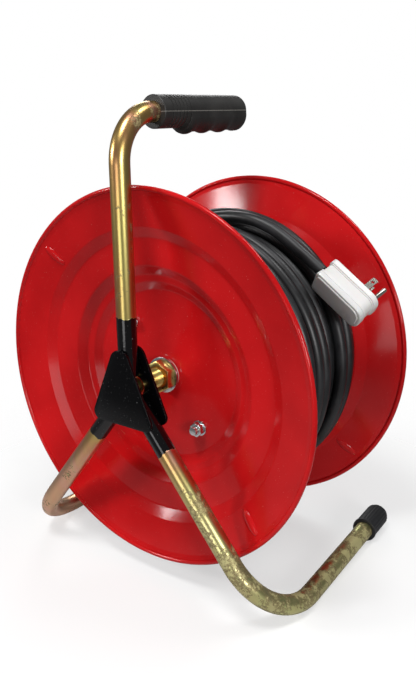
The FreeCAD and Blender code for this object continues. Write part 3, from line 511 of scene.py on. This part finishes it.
def cord_sheath(name):
    """Smoother rubber whose streaks follow the turns round the axle."""
    made = Finish(name, specular_ior_level=0.5)
    x, y, z = made.axes(made.place())
    from_axle = ((y * y) + (z - AXLE_Z) * (z - AXLE_Z)) ** 0.5
    rolled = made.node("CombineXYZ", {}, {0: x, 1: from_axle, 2: (y + z) * 0.04})
    streaks = made.noise(520, 4, 0.6, rolled)
    dusty = made.step(made.noise(22, 4, 0.6), 0.4, 0.66)
    colour = made.blend(dusty * 0.7 + streaks * 0.3, tint(12, 12, 13), tint(36, 37, 39))
    made.feed(base_color=colour, roughness=0.34 + dusty * 0.1 + streaks * 0.1,
              normal=made.bump(streaks, 0.1 * MM, 0.35))
    return made


grip_rubber = rubber("grip_rubber", tint(31, 30, 29), tint(64, 63, 61), 0.5, 1300)
cap_rubber = rubber("cap_rubber", tint(22, 22, 24), tint(52, 52, 54), 0.5, 1100)
cord_rubber = cord_sheath("cord_rubber")
print("made", grip_rubber.material.name, cap_rubber.material.name, cord_rubber.material.name)

# %% [markdown]
# Mouldings come in two skins. The plug and the outlet faces are polished in the mould; the
# socket cover and knob have a spark-eroded texture, a fine even roughness that hides scratches.

# %% Mouldings
def moulding(name, colour, soiled, rough, grain, depth, **constants):
    """Moulded plastic with a little soiling; the grain's depth is in millimetres."""
    made = Finish(name, **constants)
    soil = made.step(made.noise(34, 5, 0.6), 0.5, 0.75)
    made.feed(base_color=made.blend(soil * 0.5, colour, soiled), roughness=rough + soil * 0.08,
              normal=made.bump(made.noise(grain, 2, 0.6), depth * MM, 0.5))
    return made


white_plug = moulding("white_plug", tint(222, 220, 218), tint(204, 201, 197), 0.2, 500, 0.02,
                      subsurface_weight=0.08)
black_moulding = moulding("black_moulding", tint(32, 32, 34), tint(50, 50, 52), 0.42, 1500, 0.08)
outlet_plastic = moulding("outlet_plastic", tint(40, 40, 43), tint(56, 56, 58), 0.24, 600, 0.02)
button_plastic = moulding("button_plastic", tint(176, 22, 26), tint(150, 24, 26), 0.25, 500, 0.02)
nylon = moulding("nylon", tint(216, 213, 202), tint(196, 190, 176), 0.4, 700, 0.04, subsurface_weight=0.1)
print("made", len(bpy.data.materials), "materials in all")

# %% [markdown]
# The model's record names a material slot for every node, so one loop can dress them all. Each
# slot has the name of a finish made above, which makes the table that finds it very short. Nodes
# that are modelled again below get theirs too, and it does no harm.

# %% Give every CAD node its finish
FINISHES = {finish.material.name: finish for finish in (
    red_enamel, yellow_zinc, black_paint, gold_zinc, bright_zinc, nickel, grip_rubber, cap_rubber,
    cord_rubber, white_plug, black_moulding, outlet_plastic, button_plastic, nylon)}
for part in frame["record"]["subparts"]:
    mesh = frame["nodes"][part["node"]].data
    mesh.materials.clear()
    mesh.materials.append(FINISHES[part["material_slot"]].material)
power_cord.data.materials.append(cord_rubber.material)
print("dressed", len(frame["nodes"]), "CAD nodes")

# %% [markdown]
# Most of the new pieces are bars: one section carried along an axis while it swells and narrows.
# A lathe makes them from an outline, and the same idea works in edit mode. One flat face is pushed
# up with Extrude and scaled, again and again, through a list of stations. A list that runs down
# the inside first and then up the outside leaves a bore, so a sleeve is closed and really hollow.

# %% Drawing a face out
def only(made):
    """Selects one object and nothing else."""
    bpy.ops.object.select_all(action="DESELECT")
    made.select_set(True)
    bpy.context.view_layer.objects.active = made


def edit(made, *steps):
    """Runs steps in edit mode with everything selected at the start."""
    only(made)
    bpy.ops.object.mode_set(mode="EDIT")
    bpy.ops.mesh.select_all(action="SELECT")
    for step in steps:
        step()
    bpy.ops.mesh.select_all(action="SELECT")
    bpy.ops.mesh.normals_make_consistent(inside=False)
    bpy.ops.object.mode_set(mode="OBJECT")


def pick(made, test):
    """In edit mode, selects the vertices whose place passes a test."""
    bpy.ops.mesh.select_all(action="DESELECT")
    mesh = bmesh.from_edit_mesh(made.data)
    for vertex in mesh.verts:
        vertex.select_set(bool(test(vertex.co)))
    mesh.select_flush(True)
    bmesh.update_edit_mesh(made.data)


def primitive(name, kind, **settings):
    """New piece from one of Blender's mesh primitives."""
    bpy.ops.object.select_all(action="DESELECT")
    getattr(bpy.ops.mesh, "primitive_" + kind + "_add")(**settings)
    made = bpy.context.object
    made.name = made.data.name = name
    return made


def copied(original, name):
    """Second piece of the same shape, with a mesh of its own."""
    made = original.copy()
    made.data = original.data.copy()
    made.name = made.data.name = name
    bpy.context.scene.collection.objects.link(made)
    return made


def rise(stations):
    """Extrudes the selected face through stations of (height, half x, half y), in millimetres.

    A round station has one number, its radius, in place of the two halves.
    """
    for (low, *old), (high, *new) in zip(stations, stations[1:]):
        bpy.ops.mesh.extrude_region_move(TRANSFORM_OT_translate={"value": (0, 0, (high - low) * MM)})
        bpy.ops.transform.resize(value=(new[0] / old[0], new[-1] / old[-1], 1),
                                 center_override=(0, 0, high * MM))


def drawn_out(name, stations, sides=48):
    """Round bar along Z; each station is (height, radius) in millimetres."""
    height, radius = stations[0]
    made = primitive(name, "circle", vertices=sides, radius=radius * MM, fill_type="NGON",
                     location=(0, 0, height * MM))
    bpy.ops.object.transform_apply(location=True)
    edit(made, lambda: rise(stations))
    return made


def along(origin, direction, side=(0, 0, -1)):
    """Matrix that stands a piece on a point, its Z along a direction and its X near another."""
    z = Vector(direction).normalized()
    x = (Vector(side) - z * z.dot(Vector(side))).normalized()
    return Matrix.Translation(Vector(origin)) @ Matrix((x, z.cross(x), z)).transposed().to_4x4()


def settle(made, slot, *nodes, place=None, body=None, smooth=38):
    """Puts a piece in its place, dresses it and ties it to the body of the nodes it stands for."""
    only(made)
    if place:
        made.matrix_world = place @ made.matrix_world
    bpy.ops.object.transform_apply(location=True, rotation=True, scale=True)
    bpy.ops.object.shade_smooth_by_angle(angle=math.radians(smooth))
    made.data.materials.clear()
    made.data.materials.append(FINISHES[slot].material)
    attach(made, body or BODY_OF[nodes[0]])
    if nodes:
        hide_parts(*nodes)
    print(made.name, "has", len(made.data.polygons), "faces")


BODY_OF = {name: body_of(node)[0] for name, node in frame["nodes"].items()}
print("helpers ready; the reel carries", sum(body == "reel" for body in BODY_OF.values()), "nodes")

# %% [markdown]
# The handle grip is a soft black sleeve pushed over the tube. Its upper half is plain and round,
# six ring grooves give it flex near the bend, and the half under the fingers is deeper with four
# swells between them. The sleeve is drawn out round first. Then the lower half of each ring is
# pulled down and stretched, which keeps the top a true half circle.

# %% Handle grip
TUBE = 9.5
BORE = TUBE + 0.1
HANDLE_TURN = math.radians(88)
HANDLE_X, HANDLE_RISE, HANDLE_BEND = -123.75, 208.6, 45.0
GRIP_RADIUS, GRIP_LENGTH, GRIP_GAP, GRIP_DROP = 15.2, 138.0, 3.5, 4.0
GRIP_MOUTH, GRIP_WALL, GRIP_NOSE = 14.5, 6.0, 9.0
BELLY_FROM, BELLY_RAMP, BELLY_END, BELLY_END_SHARE = 34, 7, 128, 0.8
SWELL_AT, SWELL_REACH, SWELL_TALL = (45, 73, 101, 130), 5.5, 2.1
GROOVES, GROOVE_FROM, GROOVE_PITCH = 6, 11, 5.2
GROOVE_SHOULDER, GROOVE_FLOOR = 14.3, 13.8
GRIP_STEPS = range(40, 129, 2)
NEAR = 0.05 * MM
handle_way = Vector((math.sin(HANDLE_TURN), 0, math.cos(HANDLE_TURN)))
grip_at = Vector((HANDLE_X + HANDLE_BEND * (1 - math.cos(HANDLE_TURN)), 0,
                  AXLE_Z / MM + HANDLE_RISE + HANDLE_BEND * math.sin(HANDLE_TURN))) * MM
grip_at += handle_way * GRIP_GAP * MM


def grip_depth(s):
    """How deep the lower half hangs under the tube's axis, in millimetres."""
    if s <= BELLY_FROM:
        return GRIP_RADIUS
    share = min(1, (s - BELLY_FROM) / BELLY_RAMP) * (1 if s < BELLY_END else BELLY_END_SHARE)
    swell = sum(math.exp(-((s - crest) / SWELL_REACH) ** 2) for crest in SWELL_AT)
    return GRIP_RADIUS + GRIP_DROP * share + SWELL_TALL * swell


grip_rings = [(GRIP_LENGTH - GRIP_WALL, BORE), (0, BORE), (0, GRIP_MOUTH), (0.7, GRIP_RADIUS)]
for groove in range(GROOVES):
    s = GROOVE_FROM + GROOVE_PITCH * groove
    grip_rings += [(s, GRIP_RADIUS), (s + 0.3, GROOVE_SHOULDER), (s + 0.7, GROOVE_FLOOR),
                   (s + 1.4, GROOVE_FLOOR), (s + 1.8, GROOVE_SHOULDER), (s + 2.1, GRIP_RADIUS)]
grip_rings += [(s, GRIP_RADIUS) for s in GRIP_STEPS]
for degrees in range(10, 91, 10):
    bend = math.radians(degrees)
    grip_rings.append((GRIP_LENGTH - GRIP_NOSE * (1 - math.sin(bend)),
                       GRIP_RADIUS - GRIP_NOSE * (1 - math.cos(bend))))
handle_sleeve = drawn_out("handle_sleeve", grip_rings, 64)


def pick_lower_half(s, radius):
    """Selects the lower half of one ring of the sleeve; down is +X here."""
    pick(handle_sleeve, lambda co: co.x > 0.01 * MM and abs(co.z - s * MM) < NEAR
         and abs(co.xy.length - radius * MM) < NEAR)


def hang_lower_half():
    """Pulls the lower half of each outer ring down and stretches it over the swells."""
    for s, radius in grip_rings[4:]:
        depth = grip_depth(s) - GRIP_RADIUS
        if depth <= 0:
            continue
        drop = min(depth, GRIP_DROP) * radius / GRIP_RADIUS
        pick_lower_half(s, radius)
        bpy.ops.transform.translate(value=(drop * MM, 0, 0))
        swell = (depth - min(depth, GRIP_DROP)) / GRIP_RADIUS
        bpy.ops.transform.resize(value=(1 + swell, 1 + swell * 0.5, 1),
                                 center_override=(drop * MM, 0, s * MM))


edit(handle_sleeve, hang_lower_half)
settle(handle_sleeve, "grip_rubber", "handle_grip", place=along(grip_at, handle_way))

# %% [markdown]
# Where the two halves of the grip's mould met, a thin pale line runs along both sides at the height
# of the tube's axis. The finish draws it from the distance to that axis line, so it stays straight.

# %% Parting line
x, y, z = grip_rubber.axes(grip_rubber.place())
off_line = z - grip_at.z - (x - grip_at.x) * (handle_way.z / handle_way.x)
SEAM_OUT, SEAM_FULL = 0.5 * MM, 0.2 * MM
seam = grip_rubber.step((off_line * off_line) ** 0.5, SEAM_OUT, SEAM_FULL)
plain = Wire(grip_rubber, grip_rubber.shader.inputs["Base Color"].links[0].from_socket)
grip_rubber.feed(base_color=grip_rubber.blend(seam * 0.55, plain, tint(150, 147, 140)))
print("parting line at", round(grip_at.z, 4), "m")

# %% [markdown]
# Each foot ends in a moulded cap with a plain collar, a ring of lengthwise ribs to grip it by when
# it is pushed on, and a domed end. The cap is drawn out like the grip, and every other pair of
# points round the ribbed part is scaled outwards. Both feet are the same, so the second is a copy.

# %% Foot caps
LEG_SPLAY, LEG_TURN = math.radians(38.9), math.radians(92.15)
LEG_RUN, LEG_BEND, CAP_START = 188.8, 70.0, 132.0
CAP_SIDES, RIB_OUT = 96, 1.055
RIBS_FROM, RIBS_TO, RIBS_OUTSIDE = 4.5 * MM, 39 * MM, 11 * MM
cap_rings = [(38, BORE), (0, BORE), (0, 13.0), (0.4, 13.4), (2.8, 13.4), (3.2, 13.0), (3.4, 12.1)]
cap_rings += [(5, 12.1), (38, 12.1), (39.5, 11.9), (41.5, 11.0), (43, 9.4), (43.8, 7.2), (44, 4.5)]
left_cap = drawn_out("left_cap", cap_rings, CAP_SIDES)


def on_rib(co):
    """True for two points in every four round the ribbed part."""
    turn = math.atan2(co.y, co.x) / (2 * math.pi) * CAP_SIDES
    return RIBS_FROM < co.z < RIBS_TO and co.xy.length > RIBS_OUTSIDE and round(turn) % 4 < 2


def raise_ribs():
    """Scales the ribs' points away from the cap's axis."""
    pick(left_cap, on_rib)
    bpy.ops.transform.resize(value=(RIB_OUT, RIB_OUT, 1), center_override=(0, 0, 20 * MM))


edit(left_cap, raise_ribs)
right_cap = copied(left_cap, "right_cap")
for hand, cap, node in ((1, left_cap, "left_foot_cap"), (-1, right_cap, "right_foot_cap")):
    down = Vector((0, hand * math.sin(LEG_SPLAY), -math.cos(LEG_SPLAY)))
    foot_way = Vector((math.sin(LEG_TURN), 0, 0)) + down * math.cos(LEG_TURN)
    bend_end = Vector((HANDLE_X + LEG_BEND * (1 - math.cos(LEG_TURN)), 0, AXLE_Z / MM))
    bend_end += down * (LEG_RUN + LEG_BEND * math.sin(LEG_TURN))
    settle(cap, "cap_rubber", node, place=along((bend_end + foot_way * CAP_START) * MM, foot_way))

# %% [markdown]
# The plug is a white moulding in two halves: a back plate with a raised panel, and a front with a
# waist and a flange round the pins. Both have the same plan, square at the cord and round at the
# nose. A plane gets its corners rounded with Bevel and is then pushed up like the other pieces.

# %% Plug shells
PLUG_LONG, PLUG_WIDE = 61.0, 30.0
CORD_CORNER, NOSE_CORNER = 4.0, 11.0
cord_way = (Vector(FREE_END[-1]) - Vector(FREE_END[-2])).normalized()
pins_way = Vector((0.83, -0.335, 0.447))
PLUG_PLACE = along(FREE_END[-1], pins_way, cord_way)


def plug_shell(name, stations):
    """Shell of the plug; stations are (height, inset) in millimetres."""
    made = primitive(name, "plane", size=1, location=(0, 0, stations[0][0] * MM))
    made.scale = (PLUG_LONG * MM, PLUG_WIDE * MM, 1)
    bpy.ops.object.transform_apply(location=True, scale=True)
    full = [(height, PLUG_LONG / 2 - inset, PLUG_WIDE / 2 - inset) for height, inset in stations]

    def is_corner(co):
        return abs(co.y) > (PLUG_WIDE / 2 - 0.1) * MM and abs(co.x) > (PLUG_LONG / 2 - 0.1) * MM

    def shape():
        pick(made, lambda co: co.x <= 0 and is_corner(co))
        bpy.ops.mesh.bevel(offset=CORD_CORNER * MM, segments=5, affect="VERTICES")
        pick(made, lambda co: co.x > 0 and is_corner(co))
        bpy.ops.mesh.bevel(offset=NOSE_CORNER * MM, segments=9, affect="VERTICES")
        bpy.ops.mesh.select_all(action="SELECT")
        bpy.ops.transform.resize(value=(full[0][1] * 2 / PLUG_LONG, full[0][2] * 2 / PLUG_WIDE, 1),
                                 center_override=(0, 0, full[0][0] * MM))
        rise(full)
    edit(made, shape)
    return made


shift = Matrix.Translation((PLUG_LONG / 2 * MM, 0, 0))
plug_plate = plug_shell("plug_plate", [
    (-8.5, 0.5), (-8.7, 0), (-12.9, 0), (-13.6, 0.35), (-14.0, 1.1), (-14.0, 2.7), (-14.6, 2.9),
    (-14.9, 3.3), (-15.0, 4.2)])
settle(plug_plate, "white_plug", "plug_back", place=PLUG_PLACE @ shift, smooth=30)
plug_front = plug_shell("plug_front", [
    (-8.4, 0.5), (-8.2, 0.2), (-5.6, 0.3), (-5.2, 1.5), (4.6, 1.5), (4.9, 0.9), (6.0, 0.9), (6.3, 0),
    (11.5, 0), (12.2, 0.4), (12.5, 1.2)])
settle(plug_front, "white_plug", "plug_body", place=PLUG_PLACE @ shift, smooth=30)

# %% [markdown]
# Two flat blades and a round ground pin stand on the front. A blade is pressed from strip: its
# corners are rounded and it has an eye punched near its end, so a box is bevelled and a round bar
# is taken away from it with a Boolean. It is modelled between its two places and copied.

# %% Plug pins
BLADE_X, GROUND_X, BLADE_GAP = 40.0, 51.9, 12.7
BLADE_WIDE, BLADE_THICK, BLADE_TALL, BLADE_FOOT = 6.35, 1.5, 18.5, 12.45
TIP_ROUND, EDGE_ROUND = 1.2, 0.12
EYE_RADIUS, EYE_HEIGHT = 1.6, 26.0
PIN_RADIUS, PIN_FOOT, PIN_END = 2.4, 12.4, 32.6
blade_a = primitive("blade_a", "cube", size=1, location=(BLADE_X * MM, 0, (BLADE_FOOT + BLADE_TALL / 2) * MM))
blade_a.scale = (BLADE_WIDE * MM, BLADE_THICK * MM, BLADE_TALL * MM)
bpy.ops.object.transform_apply(location=True, scale=True)


def round_blade():
    """Rounds the two short corners at the tip, then breaks every edge."""
    mesh = bmesh.from_edit_mesh(blade_a.data)
    bpy.ops.mesh.select_all(action="DESELECT")
    for edge in mesh.edges:
        ends = [vertex.co for vertex in edge.verts]
        at_tip = min(end.z for end in ends) > (BLADE_FOOT + BLADE_TALL / 2) * MM
        edge.select_set(at_tip and abs(ends[0].y - ends[1].y) > MM)
    bmesh.update_edit_mesh(blade_a.data)
    bpy.ops.mesh.bevel(offset=TIP_ROUND * MM, segments=4)
    bpy.ops.mesh.select_all(action="SELECT")
    bpy.ops.mesh.bevel(offset=EDGE_ROUND * MM, segments=1)


edit(blade_a, round_blade)
punch = primitive("punch", "cylinder", vertices=24, radius=EYE_RADIUS * MM, depth=6 * MM,
                  rotation=(math.pi / 2, 0, 0), location=(BLADE_X * MM, 0, EYE_HEIGHT * MM))
only(blade_a)
hole = blade_a.modifiers.new("eye", "BOOLEAN")
hole.object = punch
bpy.ops.object.modifier_apply(modifier="eye")
bpy.data.objects.remove(punch)
blade_b = copied(blade_a, "blade_b")
for side, blade in ((-1, blade_a), (1, blade_b)):
    aside = Matrix.Translation((0, side * BLADE_GAP / 2 * MM, 0))
    settle(blade, "nickel_pin", "plug_blades", place=PLUG_PLACE @ aside, smooth=30)

pin_rings = [(PIN_FOOT, PIN_RADIUS), (PIN_END, PIN_RADIUS)]
for degrees in (20, 40, 60, 78):
    bend = math.radians(degrees)
    pin_rings.append((PIN_END + 0.98 * PIN_RADIUS * math.sin(bend), PIN_RADIUS * math.cos(bend)))
ground_pin = drawn_out("ground_pin", pin_rings, 32)
settle(ground_pin, "nickel_pin", "plug_ground_pin",
       place=PLUG_PLACE @ Matrix.Translation((GROUND_X * MM, 0, 0)))

# %% [markdown]
# The axle is an M20 stud with a 2.5 mm thread. One triangle turned round the axis while it moves
# along is exactly what a lathe tool cuts, and the Screw modifier does that. The triangle is a circle
# of three points, scaled and stood up beside the axis. Its ridge is wound on a plain core, and both
# ends of the ridge are closed.

# %% Axle thread
CORE, CORE_CHAMFER, CREST, PITCH = 8.9, 0.8, 9.9, 2.5
TOOTH_ROOT, TOOTH_HALF = CORE - 0.1, 1.2
TOOTH_STEPS = 40
shaft_low, shaft_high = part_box("axle_shaft")
core_long = (shaft_high.x - shaft_low.x) / MM
core = drawn_out("axle_core", [
    (0, CORE - CORE_CHAMFER), (CORE_CHAMFER, CORE), (core_long - CORE_CHAMFER, CORE),
    (core_long, CORE - CORE_CHAMFER)])
settle(core, "gold_zinc_thread", "axle_shaft", place=along((shaft_low.x, 0, AXLE_Z), (1, 0, 0)))
THREAD_FROM, THREAD_TO = shaft_low.x / MM + 22.5, RIM_X / MM + 30
thread = primitive("axle_thread", "circle", vertices=3, radius=1, fill_type="NOTHING")
tooth_wide = TOOTH_HALF / math.sin(math.radians(60))
tooth_tall = (CREST - TOOTH_ROOT) / 1.5
stood_up = along(((TOOTH_ROOT + tooth_tall / 2) * MM, 0, 0), (0, 1, 0), (0, 0, 1))
thread.matrix_world = stood_up @ Matrix.Diagonal((tooth_wide * MM, tooth_tall * MM, 1, 1))
bpy.ops.object.transform_apply(location=True, rotation=True, scale=True)
winding = thread.modifiers.new("helix", "SCREW")
winding.axis = "Z"
winding.screw_offset = PITCH * MM
winding.iterations = int((THREAD_TO - THREAD_FROM) / PITCH)
winding.steps = winding.render_steps = TOOTH_STEPS
only(thread)
bpy.ops.object.modifier_apply(modifier="helix")
edit(thread, lambda: bpy.ops.mesh.remove_doubles(threshold=0.001 * MM),
     lambda: bpy.ops.mesh.fill_holes(sides=3))
settle(thread, "gold_zinc_thread", body=BODY_OF["axle_shaft"], smooth=50,
       place=along((THREAD_FROM * MM, 0, AXLE_Z), (1, 0, 0)))

# %% [markdown]
# Sheet and turned parts already have their true shape, but a CAD edge is a perfect corner, and a
# perfect corner never catches the light. Each gets a copy of its CAD mesh with the loose triangles
# merged, flat areas joined back into single faces and a small bevel on every sharp edge.

# %% Softened edges
def softened(node, width, segments=2):
    """Copy of a CAD node's mesh with its sharp edges rounded; the width is in millimetres."""
    made = copied(frame["nodes"][node], node + "_soft")
    made.parent = None
    for key in list(made.keys()):
        del made[key]
    edit(made, lambda: bpy.ops.mesh.remove_doubles(threshold=0.002 * MM),
         lambda: bpy.ops.mesh.dissolve_limited(angle_limit=math.radians(0.5)))
    rounding = made.modifiers.new("edges", "BEVEL")
    rounding.width = width * MM
    rounding.segments = segments
    rounding.limit_method = "ANGLE"
    rounding.angle_limit = math.radians(40)
    rounding.use_clamp_overlap = True
    only(made)
    bpy.ops.object.modifier_apply(modifier="edges")
    return made


EDGE_WIDTHS = {
    "outer_gusset_plate": 0.7, "inner_gusset_plate": 0.7, "near_axle_washer": 0.4,
    "near_axle_nut": 0.35, "tie_bolt_washers": 0.25, "tie_bolt_nuts": 0.3, "tie_bolts": 0.4,
    "far_axle_nut": 0.35, "far_axle_washer": 0.4, "socket_cover": 0.9, "outlet_top": 0.5,
    "outlet_bottom": 0.5, "outlet_left": 0.5, "outlet_right": 0.5, "thermal_cutout": 0.5,
    "reset_button": 0.5, "cover_screws": 0.3, "winding_knob": 0.6}
SLOT_OF = {part["node"]: part["material_slot"] for part in frame["record"]["subparts"]}
for node, width in EDGE_WIDTHS.items():
    settle(softened(node, width), SLOT_OF[node], node, smooth=32)

# %% [markdown]
# The cord comes out of the drum wall, it is 27.4 m of 12.5 mm rubber lead, and the plug's pieces
# go with it.

# %% [markdown]
# The floor is a pale sheet that only has to catch soft shadows. Its alpha falls off with distance,
# so that it melts into the white surround and no horizon shows behind the reel.

# %% Floor
FLOOR_SIZE, FADE_FROM, FADE_TO, FLOOR_SHARE = 1.9, 0.2, 0.6, 0.45
floor = primitive("floor", "plane", size=FLOOR_SIZE, location=(0, 0, 0))
paper = Finish("floor_paper", roughness=0.95, specular_ior_level=0.1)
x, y, z = paper.axes(paper.place())
paper.feed(base_color=(0.93, 0.93, 0.93, 1),
           alpha=paper.step((x * x + y * y) ** 0.5, FADE_TO, FADE_FROM) * FLOOR_SHARE)
floor.data.materials.append(paper.material)
print("floor laid")
